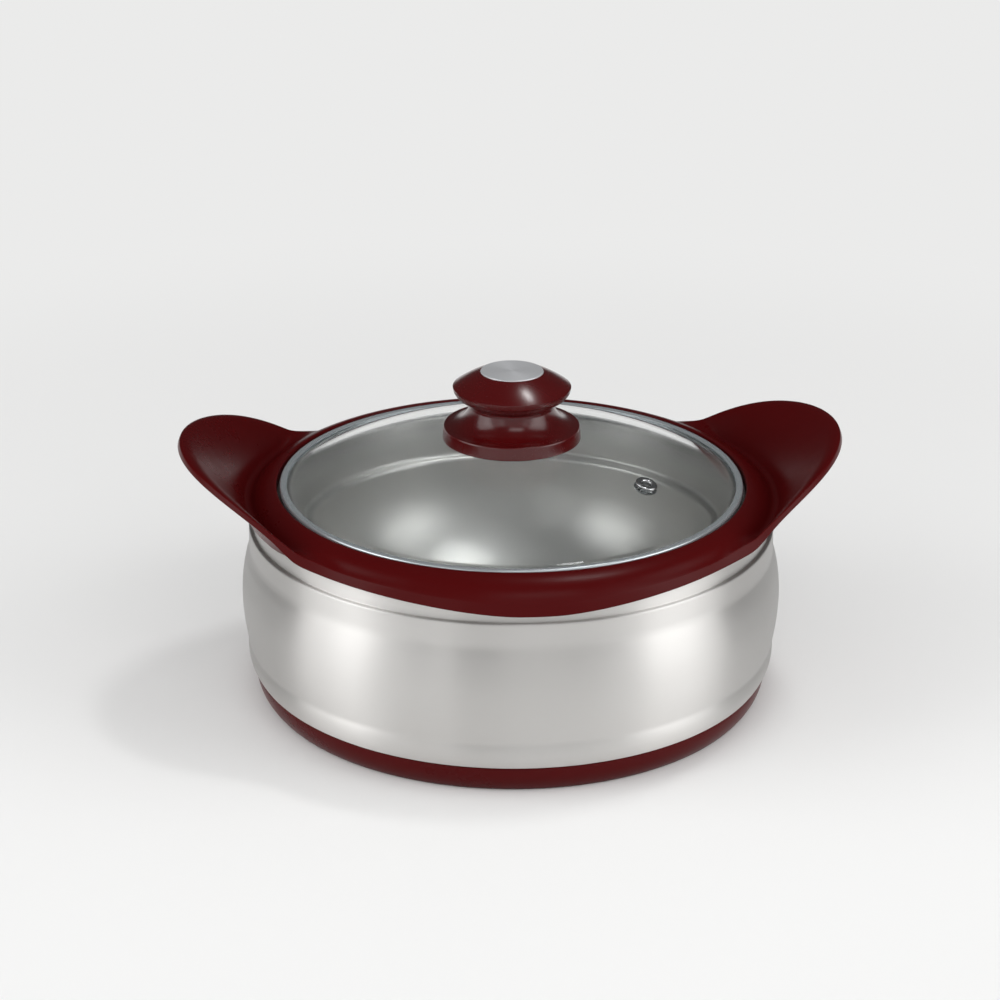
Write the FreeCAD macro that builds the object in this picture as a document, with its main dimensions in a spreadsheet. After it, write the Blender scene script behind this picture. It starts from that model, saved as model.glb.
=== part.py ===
import FreeCAD, Part
import math
import os
from types import SimpleNamespace

import Sketcher

# Insulated serving casserole: a double-walled steel bowl with a plastic collar whose two
# wings are the handles, a plastic base, and a domed glass lid with a turned knob.
# Millimetres and degrees. The origin is on the table under the middle of the base, +Z is up
# and the handles lie along X.

SIZES = {
    # Base: a plastic ring round the foot of the shell, and a plate that closes it
    "base_inset": 5.2,
    "base_height": 12.5,
    "base_wall": 2.5,
    "base_bevel": 1.0,
    "base_bow": 15.3,
    "foot_inset": 4.6,
    "foot_width": 7.4,
    "foot_edge": 0.7,
    "ledge_width": 12.4,
    "ledge_relief": 2.4,
    "ledge_height": 5.0,
    "plate_inset": 3.3,
    "plate_thick": 2.2,
    "plate_rib": 1.8,
    "plate_rib_wide": 2.0,
    "plate_rib_count": 8,
    "plug_radius": 7.0,
    "plug_head": 9.6,
    "plug_head_thick": 1.2,
    # Outer shell: one steel sheet, spun to a barrel with a rolled foot and a grooved neck
    "shell_sheet": 0.6,
    "shell_rim": 20.1,
    "shell_bevel": 2.0,
    "belly_radius": 126.2,
    "belly_drop": 39.0,
    "upper_bow": 70.0,
    "lower_bow": 100.0,
    "lower_turn": 13.0,
    "roll_bow": 22.0,
    "roll_rest": 0.2,
    "roll_reach": 0.3,
    "neck_inset": 5.8,
    "neck_cove": 14.0,
    "neck_show": 4.1,
    "neck_tuck": 2.4,
    "shoulder_step": 1.9,
    # Collar: the moulded rim, with the lip and the wings
    "collar_width": 14.7,
    "collar_foot": 87.0,
    "collar_wall": 2.5,
    "crest_rise": 13.7,
    "crest_bevel": 1.0,
    "crest_bow": 18.0,
    "lip_reach": 3.3,
    "lip_drop": 5.3,
    "lip_wall": 1.8,
    "draft_angle": 20.7,
    "valley_reach": 0.8,
    "valley_depth": 0.5,
    "valley_round": 1.6,
    "valley_side": 0.9,
    "wing_shift": 38.7,
    "wing_radius": 81.0,
    "wing_blend": 78.0,
    "wing_reach": 36.3,
    "wing_tip_rise": 41.6,
    "wing_bow": 71.0,
    "rib_thick": 2.0,
    "rib_pitch": 26.0,
    "rib_count": 3,
    "rib_start": 2.5,
    "rib_length": 24.0,
    "skirt_drop": 4.4,
    "skirt_wall": 2.0,
    "neck_skirt_drop": 2.5,
    # Inner bowl: a thinner steel sheet, with a flange that lies on the collar's ledge
    "bowl_sheet": 0.6,
    "bowl_flange": 7.7,
    "bowl_depth": 73.2,
    "bowl_step": 6.0,
    "bowl_step_depth": 21.0,
    "bowl_bevel": 2.0,
    "bowl_step_bevel": 2.2,
    "bowl_round_share": 0.6,
    "seal_thick": 0.7,
    "seal_width": 4.5,
    # Lid: glass dome in a folded steel rim
    "lid_gap": 1.4,
    "rim_width": 3.3,
    "rim_sheet": 0.5,
    "rim_bevel": 1.2,
    "glass_thick": 3.2,
    "glass_bow": 242.0,
    "glass_cove": 8.0,
    "glass_bevel": 1.2,
    # Steam vent: a rolled eyelet through the glass
    "vent_place": 71.0,
    "vent_angle": -36.5,
    "vent_bore": 2.25,
    "vent_tube": 3.1,
    "vent_ring": 5.0,
    "vent_ring_rise": 1.4,
    "vent_ring_bevel": 0.8,
    "vent_flare": 4.6,
    "vent_flare_thick": 0.5,
    "vent_washer_radius": 5.3,
    "vent_washer_thick": 0.6,
    # Knob: two mouldings and a metal cap, pulled down on the glass by one screw
    "flange_radius": 32.0,
    "flange_wall": 2.5,
    "flange_rise": 4.4,
    "flange_lean": 0.5,
    "flange_bow": 12.0,
    "flange_top": 13.6,
    "flange_boss": 10.5,
    "flange_hollow": 2.6,
    "waist_radius": 19.6,
    "waist_rise": 1.6,
    "grip_crease_radius": 24.2,
    "grip_crease_rise": 5.5,
    "grip_radius": 27.2,
    "grip_widest": 9.5,
    "grip_side_bow": 5.5,
    "grip_cone_bow": 60.0,
    "grip_rise": 16.6,
    "cap_radius": 14.4,
    "cap_thick": 2.5,
    "cap_bevel": 0.3,
    "cap_proud": 0.4,
    "insert_radius": 5.0,
    "insert_length": 10.0,
    "insert_sunk": 1.0,
    "screw_radius": 2.5,
    "screw_head": 4.8,
    "screw_head_thick": 3.0,
    "screw_head_bevel": 1.5,
    "screw_tip": 1.0,
    "washer_radius": 8.0,
    "washer_thick": 1.0,
    "pad_radius": 10.0,
    "pad_thick": 1.2,
    # Fits
    "fit": 0.2,
    "loose_fit": 0.3,
    "lid_rest": 0.1,
    "glass_play": 0.1,
    "foam_gap": 0.3,
}

LEFT, RIGHT = 1, -1
# How much a 45 degree bevel shortens, and how far its ends shift, as its faces move in by 1
BEVEL_LOSS = 2 - math.sqrt(2)
BEVEL_SHIFT = math.sqrt(2) - 1


# A size is a number together with the spreadsheet formula that gives it, so that one piece
# of arithmetic places the geometry and drives the constraint.
class Size:
    def __init__(self, value, text):
        self.value = value
        self.text = text

    def __add__(self, other):
        other = as_size(other)
        return Size(self.value + other.value, f"({self.text} + {other.text})")

    def __sub__(self, other):
        other = as_size(other)
        return Size(self.value - other.value, f"({self.text} - {other.text})")

    def __mul__(self, other):
        other = as_size(other)
        return Size(self.value * other.value, f"({self.text} * {other.text})")

    def __truediv__(self, other):
        other = as_size(other)
        return Size(self.value / other.value, f"({self.text} / {other.text})")

    def __neg__(self):
        return Size(-self.value, f"(0 - {self.text})")

    __radd__ = __add__
    __rmul__ = __mul__


def as_size(number):
    return number if isinstance(number, Size) else Size(number, repr(number))


def sine(angle):
    return Size(math.sin(math.radians(angle.value)), f"sin({angle.text})")


def cosine(angle):
    return Size(math.cos(math.radians(angle.value)), f"cos({angle.text})")


def tangent(angle):
    return Size(math.tan(math.radians(angle.value)), f"tan({angle.text})")


def arc_cosine(ratio):
    return Size(math.degrees(math.acos(ratio.value)), f"acos({ratio.text})")


def arc_sine(ratio):
    return Size(math.degrees(math.asin(ratio.value)), f"asin({ratio.text})")


def root(number):
    return Size(math.sqrt(number.value), f"sqrt({number.text})")


ZERO = Size(0.0, "0")


# A chain of lines and arcs in a sketch plane. An arc bends LEFT or RIGHT of its direction.
class Path:
    def __init__(self, x, y):
        self.points = [(as_size(x), as_size(y))]
        self.bends = []

    def line(self, x, y):
        self.points.append((as_size(x), as_size(y)))
        self.bends.append(None)
        return self

    def arc(self, x, y, radius, turn):
        self.points.append((as_size(x), as_size(y)))
        self.bends.append((as_size(radius), turn))
        return self

    def back(self):
        path = Path(*self.points[-1])
        path.points = self.points[::-1]
        path.bends = [bend and (bend[0], -bend[1]) for bend in self.bends[::-1]]
        return path

    # The same corners with straight stretches
    def straight(self):
        self.bends = [None] * len(self.bends)
        return self

    # Goes on with a straight line to the start of the next path, and then along it
    def then(self, path):
        self.points = self.points + path.points
        self.bends = self.bends + [None] + path.bends
        return self


# Corners of a square path: (x, y, size, rounded or not)
def end(x, y):
    return x, y, ZERO, False


def bevelled(x, y, size):
    return x, y, size, False


def rounded(x, y, size):
    return x, y, size, True


# A chain whose stretches run along the axes, from end to end through bevelled and rounded
# corners. The shift moves the whole chain to its left.
def square_path(corners, shift=ZERO):
    steps = []
    for (x0, y0, _, _), (x1, y1, _, _) in zip(corners, corners[1:]):
        along_x, along_y = x1.value - x0.value, y1.value - y0.value
        length = math.hypot(along_x, along_y)
        steps.append((round(along_x / length), round(along_y / length)))
    before = [steps[0]] + steps
    after = steps + [steps[-1]]
    path = None
    for (x, y, size, is_round), enter, leave in zip(corners, before, after):
        turn = enter[0] * leave[1] - enter[1] * leave[0]
        normals = {(-enter[1], enter[0]), (-leave[1], leave[0])}
        x = x + shift * sum(normal[0] for normal in normals)
        y = y + shift * sum(normal[1] for normal in normals)
        if turn == 0:
            path = path.line(x, y) if path else Path(x, y)
            continue
        reach = size - shift * (turn if is_round else turn * BEVEL_LOSS)
        path.line(x - reach * enter[0], y - reach * enter[1])
        after_corner = x + reach * leave[0], y + reach * leave[1]
        if is_round:
            path.arc(*after_corner, reach, LEFT if turn > 0 else RIGHT)
        else:
            path.line(*after_corner)
    return path


doc = FreeCAD.newDocument("Casserole")


def make_sheet():
    sheet = doc.addObject("Spreadsheet::Sheet", "Sizes")
    for row, (name, number) in enumerate(SIZES.items(), start=1):
        sheet.set(f"A{row}", name)
        sheet.set(f"B{row}", str(number))
        sheet.setAlias(f"B{row}", name)
    doc.recompute()
    return SimpleNamespace(**{name: Size(float(sheet.get(name)), f"Sizes.{name}") for name in SIZES})


d = make_sheet()


def new_body(label):
    body = doc.addObject("PartDesign::Body", "".join(word.title() for word in label.split("_")))
    body.Label = label
    return body


def plane_of(body, role):
    return next(plane for plane in body.Origin.OriginFeatures if plane.Role == role)


# One stretch of a path as sketch geometry, with the indices of its first and last vertex
def curve(start, end, bend):
    a = FreeCAD.Vector(start[0].value, start[1].value, 0)
    b = FreeCAD.Vector(end[0].value, end[1].value, 0)
    if bend is None:
        return Part.LineSegment(a, b), 1, 2
    radius, turn = bend
    chord = b - a
    reach = math.sqrt(max(radius.value ** 2 - (chord.Length / 2) ** 2, 0.0))
    sideways = FreeCAD.Vector(-chord.y, chord.x, 0).normalize()
    centre = (a + b) / 2 + sideways * (reach * turn)
    first, last = (a, b) if turn == LEFT else (b, a)
    angles = [math.atan2(point.y - centre.y, point.x - centre.x) for point in (first, last)]
    circle = Part.Circle(centre, FreeCAD.Vector(0, 0, 1), radius.value)
    start_vertex, end_vertex = (1, 2) if turn == LEFT else (2, 1)
    return Part.ArcOfCircle(circle, *angles), start_vertex, end_vertex


# Binds one constraint of a sketch to the formula of a size
def bind(sketch, size, kind, *places):
    index = sketch.addConstraint(Sketcher.Constraint(kind, *places, size.value))
    sketch.setExpression(f"Constraints[{index}]", size.text)


# Draws a closed path: every vertex and every radius is a driven dimension
def draw(body, name, path, role="XZ_Plane", lift=None):
    sketch = body.newObject("Sketcher::SketchObject", name)
    sketch.AttachmentSupport = [(plane_of(body, role), "")]
    sketch.MapMode = "FlatFace"
    if lift is not None:
        sketch.setExpression("AttachmentOffset.Base.z", lift.text)
    bends = path.bends + [None] if len(path.bends) < len(path.points) else path.bends
    ends = path.points[1:] + path.points[:1]
    stretches = [curve(*stretch) for stretch in zip(path.points, ends, bends)]
    sketch.addGeometry([geometry for geometry, _, _ in stretches])
    for index, (x, y) in enumerate(path.points):
        vertex = stretches[index][1]
        sketch.addConstraint(
            Sketcher.Constraint("Coincident", index - 1 if index else len(ends) - 1,
                                stretches[index - 1][2], index, vertex))
        for size, kind, axis in ((x, "DistanceX", -2), (y, "DistanceY", -1)):
            if size is ZERO:
                sketch.addConstraint(Sketcher.Constraint("PointOnObject", index, vertex, axis))
            else:
                bind(sketch, size, kind, -1, 1, index, vertex)
        if bends[index]:
            bind(sketch, bends[index][0], "Radius", index)
    return sketch


# Turns a closed path (radius, height) round the Z axis
def revolve(body, name, path):
    sketch = draw(body, name + "Profile", path)
    turned = body.newObject("PartDesign::Revolution", name)
    turned.Profile = sketch
    turned.ReferenceAxis = (sketch, ["V_Axis"])
    turned.Angle = 360
    return turned


def turned_body(label, path):
    body = new_body(label)
    revolve(body, "Turned", path)
    return body


# Two paths side by side, joined at both ends, as the section of a sheet
def sheet_section(outside, inside):
    return outside.then(inside.back())


def combine(kind, label, *pieces):
    result = doc.addObject(f"Part::{kind}", "".join(word.title() for word in label.split("_")))
    result.Label = label
    if kind.startswith("Multi"):
        result.Shapes = list(pieces)
    else:
        result.Base, result.Tool = pieces
    return result


def bind_all(thing, **sizes):
    for name, size in sizes.items():
        thing.setExpression(name, size.text)


# Heights and radii that several pieces share

base_radius = d.belly_radius - d.base_inset
base_inner = base_radius - d.base_wall
foot_radius = base_radius - d.foot_inset
plate_radius = base_inner - d.plate_inset
neck_radius = d.belly_radius - d.neck_inset
lip_radius = neck_radius + d.lip_reach
recess_radius = lip_radius - d.collar_width
lid_radius = recess_radius - d.lid_gap
bowl_edge = recess_radius - d.loose_fit
bowl_radius = bowl_edge - d.bowl_flange
wing_centre = lip_radius - d.wing_shift
wing_span = lip_radius + d.wing_reach

plate_bottom = d.ledge_height
shell_bottom = plate_bottom + d.plate_thick
belly_height = d.collar_foot - d.belly_drop
crest = d.collar_foot + d.crest_rise
rim_bottom = crest - d.glass_thick - (d.rim_sheet + d.glass_play) * 2
flange_top = rim_bottom - d.lid_rest
flange_bottom = flange_top - d.bowl_sheet
ledge_top = flange_bottom - d.seal_thick
bowl_floor = flange_top - d.bowl_depth
draft = tangent(d.draft_angle)
neck_top = d.collar_foot + d.neck_tuck
neck_skirt_foot = d.collar_foot - d.neck_skirt_drop

# The glass curves up from its flat edge through a cove, tangent to the edge and the dome
cove_radius = lid_radius - d.rim_width
glass_flat = crest - d.rim_sheet - d.glass_play
bow_and_cove = d.glass_bow + d.glass_cove
glass_centre = (glass_flat + d.glass_cove
                - root(bow_and_cove * bow_and_cove - cove_radius * cove_radius))
glass_top = glass_centre + d.glass_bow
glass_underside = glass_top - d.glass_thick


# Height of the dome's outer face over a circle
def dome_height(radius):
    return glass_centre + root(d.glass_bow * d.glass_bow - radius * radius)


# The barrel from foot to neck, moved inwards by inset
def barrel(inset, foot_start, neck_end):
    foot = base_inner - d.fit - inset
    bottom = shell_bottom + inset
    bevel = d.shell_bevel - inset * BEVEL_LOSS
    roll_foot = d.base_height + d.roll_rest + inset
    shoulder = neck_radius + d.shoulder_step
    bow_centre = d.belly_radius - d.upper_bow
    upper_turn = arc_cosine((shoulder + d.neck_cove - bow_centre) / (d.upper_bow + d.neck_cove))
    cove_height = belly_height + (d.upper_bow + d.neck_cove) * sine(upper_turn)
    neck_foot = d.collar_foot - d.neck_show - inset * BEVEL_SHIFT
    lower_bow = d.lower_bow - inset
    upper_bow = d.upper_bow - inset
    path = Path(foot_start, bottom)
    path.line(foot - bevel, bottom)
    path.line(foot, bottom + bevel)
    path.line(foot, roll_foot)
    path.line(base_radius + d.roll_reach - inset, roll_foot)
    path.arc(d.belly_radius - d.lower_bow + lower_bow * cosine(d.lower_turn),
             belly_height - lower_bow * sine(d.lower_turn), d.roll_bow - inset, LEFT)
    path.arc(d.belly_radius - inset, belly_height, lower_bow, LEFT)
    path.arc(bow_centre + upper_bow * cosine(upper_turn),
             belly_height + upper_bow * sine(upper_turn), upper_bow, LEFT)
    path.arc(shoulder - inset, cove_height, d.neck_cove + inset, RIGHT)
    path.line(shoulder - inset, neck_foot - d.shoulder_step)
    path.line(neck_radius - inset, neck_foot)
    path.line(neck_radius - inset, neck_end)
    return path


# The bowl from its flange to the middle of its floor, moved outwards by shift
def bowl_chain(flange_end, shift=ZERO, floor_corner=rounded, floor_share=1):
    lower_radius = bowl_radius - d.bowl_step
    step_height = flange_top - d.bowl_step_depth
    return square_path([
        end(flange_end, flange_top),
        bevelled(bowl_radius, flange_top, d.bowl_bevel),
        bevelled(bowl_radius, step_height, d.bowl_step_bevel),
        bevelled(lower_radius, step_height, d.bowl_step_bevel),
        floor_corner(lower_radius, bowl_floor, d.bowl_depth * d.bowl_round_share * floor_share),
        end(ZERO, bowl_floor),
    ], shift)


def make_outer_shell():
    hole = base_inner - d.shell_rim
    outside = barrel(ZERO, hole, neck_top)
    inside = barrel(d.shell_sheet, hole, neck_top)
    return turned_body("outer_shell", sheet_section(outside, inside))


def make_inner_bowl():
    section = sheet_section(bowl_chain(bowl_edge), bowl_chain(bowl_edge, d.bowl_sheet))
    return turned_body("inner_bowl", section)


# Foam fills the wall and the floor between the two steel skins. Its faces are straight, and
# stay clear of the skins' curves.
def make_foam():
    inset = d.shell_sheet + d.foam_gap
    foam_top = neck_skirt_foot - d.foam_gap
    body = new_body("foam_insulation")
    outside = barrel(inset, ZERO, foam_top).straight()
    outside.line(ZERO, foam_top)
    revolve(body, "Filling", outside)
    bowl_space = bowl_chain(lid_radius, d.bowl_sheet + d.foam_gap, bevelled, BEVEL_LOSS)
    bowl_space.line(ZERO, flange_bottom - d.foam_gap)
    sketch = draw(body, "BowlSpaceProfile", bowl_space)
    hollow = body.newObject("PartDesign::Groove", "BowlSpace")
    hollow.Profile = sketch
    hollow.ReferenceAxis = (sketch, ["V_Axis"])
    hollow.Angle = 360
    return body


def make_base_ring():
    path = Path(foot_radius - d.ledge_width, d.ledge_relief)
    path.line(foot_radius - d.foot_width, d.ledge_relief)
    path.line(foot_radius - d.foot_width, ZERO)
    path.line(foot_radius, ZERO)
    path.line(foot_radius + d.foot_edge, d.foot_edge)
    path.arc(base_radius, d.base_height - d.base_bevel, d.base_bow, LEFT)
    path.line(base_radius - d.base_bevel, d.base_height)
    path.line(base_inner, d.base_height)
    path.line(base_inner, shell_bottom)
    path.line(plate_radius + d.fit, shell_bottom)
    path.line(plate_radius + d.fit, plate_bottom)
    path.line(foot_radius - d.ledge_width, plate_bottom)
    return turned_body("base_ring", path)


# The plate lies on the ring's ledge. A hoop, a boss and spokes stiffen its underside.
def make_base_plate():
    body = new_body("base_plate")
    outer = plate_radius
    hoop = foot_radius - d.ledge_width - d.loose_fit
    boss = d.plug_head + d.fit
    rib_foot = plate_bottom - d.plate_rib
    path = Path(d.plug_radius + d.fit, plate_bottom)
    path.line(boss, plate_bottom)
    path.line(boss, rib_foot)
    path.line(boss + d.plate_rib_wide, rib_foot)
    path.line(boss + d.plate_rib_wide, plate_bottom)
    path.line(hoop - d.plate_rib_wide, plate_bottom)
    path.line(hoop - d.plate_rib_wide, rib_foot)
    path.line(hoop, rib_foot)
    path.line(hoop, plate_bottom)
    path.line(outer, plate_bottom)
    path.line(outer, shell_bottom)
    path.line(d.plug_radius + d.fit, shell_bottom)
    revolve(body, "Plate", path)
    half = d.plate_rib_wide / 2
    spoke = Path(boss + half, -half).line(hoop - half, -half)
    spoke.line(hoop - half, half).line(boss + half, half)
    sketch = draw(body, "SpokeOutline", spoke, "XY_Plane", rib_foot)
    pad = body.newObject("PartDesign::Pad", "Spoke")
    pad.Profile = sketch
    bind_all(pad, Length=d.plate_rib + d.plate_thick / 2)
    spokes = body.newObject("PartDesign::PolarPattern", "Spokes")
    spokes.Originals = [pad]
    spokes.Axis = (sketch, ["N_Axis"])
    spokes.Angle = 360
    bind_all(spokes, Occurrences=d.plate_rib_count)
    body.Tip = spokes
    return body


# The plug closes the hole through which the foam was poured
def make_fill_plug():
    head_bottom = plate_bottom - d.plug_head_thick
    path = Path(ZERO, head_bottom).line(d.plug_head, head_bottom).line(d.plug_head, plate_bottom)
    path.line(d.plug_radius, plate_bottom).line(d.plug_radius, shell_bottom).line(ZERO, shell_bottom)
    return turned_body("fill_plug", path)


def make_bowl_seal():
    inner = bowl_edge - d.seal_width
    path = Path(inner, ledge_top).line(bowl_edge, ledge_top)
    path.line(bowl_edge, flange_bottom).line(inner, flange_bottom)
    return turned_body("bowl_seal", path)


# Plan of the collar at one height: the round rim and the round wings, with a concave arc
# between them. Moving the plan inwards keeps all centres, so its arcs only change radius.
def collar_plan(inset):
    to_rim = lip_radius + d.wing_blend
    to_wing = d.wing_radius + d.wing_blend
    blend_x = ((to_rim * to_rim - to_wing * to_wing + wing_centre * wing_centre)
               / (wing_centre * 2))
    blend_y = root(to_rim * to_rim - blend_x * blend_x)
    rim, wing, blend = lip_radius - inset, d.wing_radius - inset, d.wing_blend + inset
    rim_x, rim_y = blend_x * rim / to_rim, blend_y * rim / to_rim
    wing_x = wing_centre + (blend_x - wing_centre) * wing / to_wing
    wing_y = blend_y * wing / to_wing
    path = Path(wing_x, -wing_y)
    path.arc(wing_x, wing_y, wing, LEFT)
    path.arc(rim_x, rim_y, blend, RIGHT)
    path.arc(-rim_x, rim_y, rim, LEFT)
    path.arc(-wing_x, wing_y, blend, RIGHT)
    path.arc(-wing_x, -wing_y, wing, LEFT)
    path.arc(-rim_x, -rim_y, blend, RIGHT)
    path.arc(rim_x, -rim_y, rim, LEFT)
    path.bends.append((blend, RIGHT))
    return path


# The plan as a block whose sides lean inwards by the draft angle
def collar_block(label, inset):
    body = new_body(label)
    low = d.collar_foot - d.lip_drop
    high = d.collar_foot + d.wing_tip_rise
    wide = draw(body, "WidePlan", collar_plan(inset - d.lip_drop * draft), "XY_Plane", low)
    narrow = draw(body, "NarrowPlan", collar_plan(inset + d.wing_tip_rise * draft), "XY_Plane", high)
    loft = body.newObject("PartDesign::AdditiveLoft", "Block")
    loft.Profile = wide
    loft.Sections = [narrow]
    loft.Ruled = True
    return body


# The collar's upper face from crest to wing tip, sunk vertically by sink and inwards from
# the face by wall
def collar_face(sink, wall):
    lip_crease = lip_radius - d.lip_drop * draft
    valley_x = lip_crease + d.valley_reach
    valley_z = d.collar_foot + d.lip_drop - d.valley_depth - sink
    tip_z = d.collar_foot + d.wing_tip_rise - sink
    path = Path(recess_radius + d.crest_bevel, crest - sink - wall)
    path.arc(valley_x - d.valley_side - wall / 2, valley_z + d.valley_side - wall,
             d.crest_bow - wall, RIGHT)
    path.arc(valley_x + d.valley_side + wall, valley_z + d.valley_side - wall / 2,
             d.valley_round + wall, LEFT)
    path.arc(wing_span, tip_z - wall, d.wing_bow - wall, RIGHT)
    return path


def make_collar():
    # Upper face and lip as one thick skin, trimmed by the plan
    skin = collar_face(ZERO, ZERO)
    under = collar_face(d.lip_drop, ZERO).back()
    section = Path(recess_radius, crest - d.crest_bevel).then(skin).then(under)
    section.line(recess_radius, crest - d.lip_drop)
    thick_skin = turned_body("collar_skin", section)
    blank = combine("Common", "collar_blank", thick_skin, collar_block("collar_outline", ZERO))
    # Hollow under the face, inside the lip
    hollow_top = collar_face(ZERO, d.collar_wall)
    floor = d.collar_foot - d.lip_drop
    hollow_section = Path(recess_radius + d.crest_bevel, floor).then(hollow_top)
    hollow_section.line(wing_span, floor)
    under_face = turned_body("collar_under_face", hollow_section)
    within_lip = collar_block("collar_within_lip", d.lip_wall / cosine(d.draft_angle))
    hollow = combine("Common", "collar_hollow", under_face, within_lip)
    cover = combine("Cut", "collar_cover", blank, hollow)
    return combine("MultiFuse", "collar", cover, make_collar_core(), make_neck_skirt(),
                   make_wing_ribs(blank))


# Ledge for the bowl's flange, the wall of the lid's recess, and a skirt round the bowl
def make_collar_core():
    inner = bowl_radius + d.bowl_bevel
    ledge_bottom = ledge_top - d.collar_wall
    wall_top = crest - d.collar_wall + d.fit
    path = Path(inner, ledge_bottom - d.skirt_drop)
    path.line(inner + d.skirt_wall, ledge_bottom - d.skirt_drop)
    path.line(inner + d.skirt_wall, ledge_bottom)
    path.line(recess_radius + d.collar_wall, ledge_bottom)
    path.line(recess_radius + d.collar_wall, wall_top)
    path.line(recess_radius, wall_top)
    path.line(recess_radius, ledge_top)
    path.line(inner, ledge_top)
    return turned_body("collar_core", path)


# Skirt that stands just inside the steel neck and centres it
def make_neck_skirt():
    outer = neck_radius - d.shell_sheet - d.loose_fit
    top = d.collar_foot + d.lip_drop + d.fit
    path = Path(outer - d.skirt_wall, neck_skirt_foot).line(outer, neck_skirt_foot)
    path.line(outer, top).line(outer - d.skirt_wall, top)
    return turned_body("collar_neck_skirt", path)


# Ribs under each wing, as deep as the lip
def make_wing_ribs(blank):
    bars = []
    depth = d.wing_tip_rise + d.lip_drop
    for side in (LEFT, RIGHT):
        for index in range(round(d.rib_count.value)):
            bar = doc.addObject("Part::Box", "RibBar")
            start = lip_radius + d.rib_start
            offset = d.rib_pitch * (index - (round(d.rib_count.value) - 1) / 2)
            left_end = start if side == LEFT else -(start + d.rib_length)
            bind_all(bar, Length=d.rib_length, Width=d.rib_thick, Height=depth)
            bar.setExpression(
                "Placement",
                f"placement(vector({left_end.text}; {(offset - d.rib_thick / 2).text};"
                f" {(d.collar_foot - d.lip_drop).text}); rotation(0; 0; 0))")
            bars.append(bar)
    return combine("Common", "collar_ribs", combine("MultiFuse", "collar_rib_bars", *bars), blank)


def make_steel_rim():
    corners = [
        end(cove_radius, rim_bottom),
        bevelled(lid_radius, rim_bottom, d.rim_bevel),
        bevelled(lid_radius, crest, d.rim_bevel),
        end(cove_radius, crest),
    ]
    return turned_body("steel_rim", sheet_section(square_path(corners),
                                                  square_path(corners, d.rim_sheet)))


# Where a cylinder or a fitting stands on the dome, square to the glass
def on_vent(height):
    tilt = arc_sine(d.vent_place / d.glass_bow)
    reach = d.vent_place + sine(tilt) * height
    x, y = reach * cosine(d.vent_angle), reach * sine(d.vent_angle)
    z = dome_height(d.vent_place) + cosine(tilt) * height
    return (f"placement(vector({x.text}; {y.text}; {z.text});"
            f" rotation({d.vent_angle.text}; {tilt.text}; 0))")


def make_glass_dome():
    edge = lid_radius - d.rim_sheet - d.fit
    rise = glass_flat + d.glass_cove - glass_centre
    outer_share = d.glass_bow / bow_and_cove
    inner_share = (d.glass_bow - d.glass_thick) / bow_and_cove
    bottom = glass_flat - d.glass_thick
    path = Path(ZERO, glass_top)
    path.arc(cove_radius * outer_share, glass_centre + rise * outer_share, d.glass_bow, RIGHT)
    path.arc(cove_radius, glass_flat, d.glass_cove, LEFT)
    path.line(edge - d.glass_bevel, glass_flat)
    path.line(edge, glass_flat - d.glass_bevel)
    path.line(edge, bottom + d.glass_bevel)
    path.line(edge - d.glass_bevel, bottom)
    path.line(cove_radius, bottom)
    path.arc(cove_radius * inner_share, glass_centre + rise * inner_share,
             d.glass_cove + d.glass_thick, RIGHT)
    path.arc(ZERO, glass_underside, d.glass_bow - d.glass_thick, LEFT)
    blank = turned_body("glass_blank", path)
    screw_hole = doc.addObject("Part::Cylinder", "ScrewHole")
    bind_all(screw_hole, Radius=d.screw_radius + d.fit, Height=d.glass_thick * 3)
    screw_hole.setExpression("Placement.Base.z", (glass_underside - d.glass_thick).text)
    vent_hole = doc.addObject("Part::Cylinder", "VentHole")
    bind_all(vent_hole, Radius=d.vent_tube + d.fit, Height=d.glass_thick * 3)
    vent_hole.setExpression("Placement", on_vent(-d.glass_thick * 2))
    holes = combine("MultiFuse", "glass_holes", screw_hole, vent_hole)
    return combine("Cut", "glass_dome", blank, holes)


# Drawn from the dome's outer face: a rolled ring above, the tube, and a flare below
def make_vent_eyelet():
    seat = d.glass_play
    washer_foot = -(d.glass_thick + d.vent_washer_thick + d.glass_play * 2)
    foot = washer_foot - d.vent_flare_thick
    path = Path(d.vent_bore, foot).line(d.vent_flare, foot).line(d.vent_flare, washer_foot)
    path.line(d.vent_tube, washer_foot).line(d.vent_tube, seat).line(d.vent_ring, seat)
    path.line(d.vent_ring, d.vent_ring_rise - d.vent_ring_bevel)
    path.line(d.vent_ring - d.vent_ring_bevel, d.vent_ring_rise)
    path.line(d.vent_bore + d.vent_ring_bevel, d.vent_ring_rise)
    path.line(d.vent_bore, d.vent_ring_rise - d.vent_ring_bevel)
    body = turned_body("vent_eyelet", path)
    body.setExpression("Placement", on_vent(ZERO))
    return body


def make_vent_washer():
    top = -(d.glass_thick + d.glass_play)
    inner = d.vent_tube + d.fit / 2
    path = Path(inner, top - d.vent_washer_thick).line(d.vent_washer_radius, top - d.vent_washer_thick)
    path.line(d.vent_washer_radius, top).line(inner, top)
    body = turned_body("vent_washer", path)
    body.setExpression("Placement", on_vent(ZERO))
    return body


# The knob's pieces are drawn from the top of the glass. Under the glass the first of them
# lies where the rim of a flat pad meets the hollow face.
inner_bow = d.glass_bow - d.glass_thick
pad_seat = root(inner_bow * inner_bow - d.pad_radius * d.pad_radius) - d.glass_bow
def stand_on_glass(body):
    body.setExpression("Placement.Base.z", glass_top.text)
    return body


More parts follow.
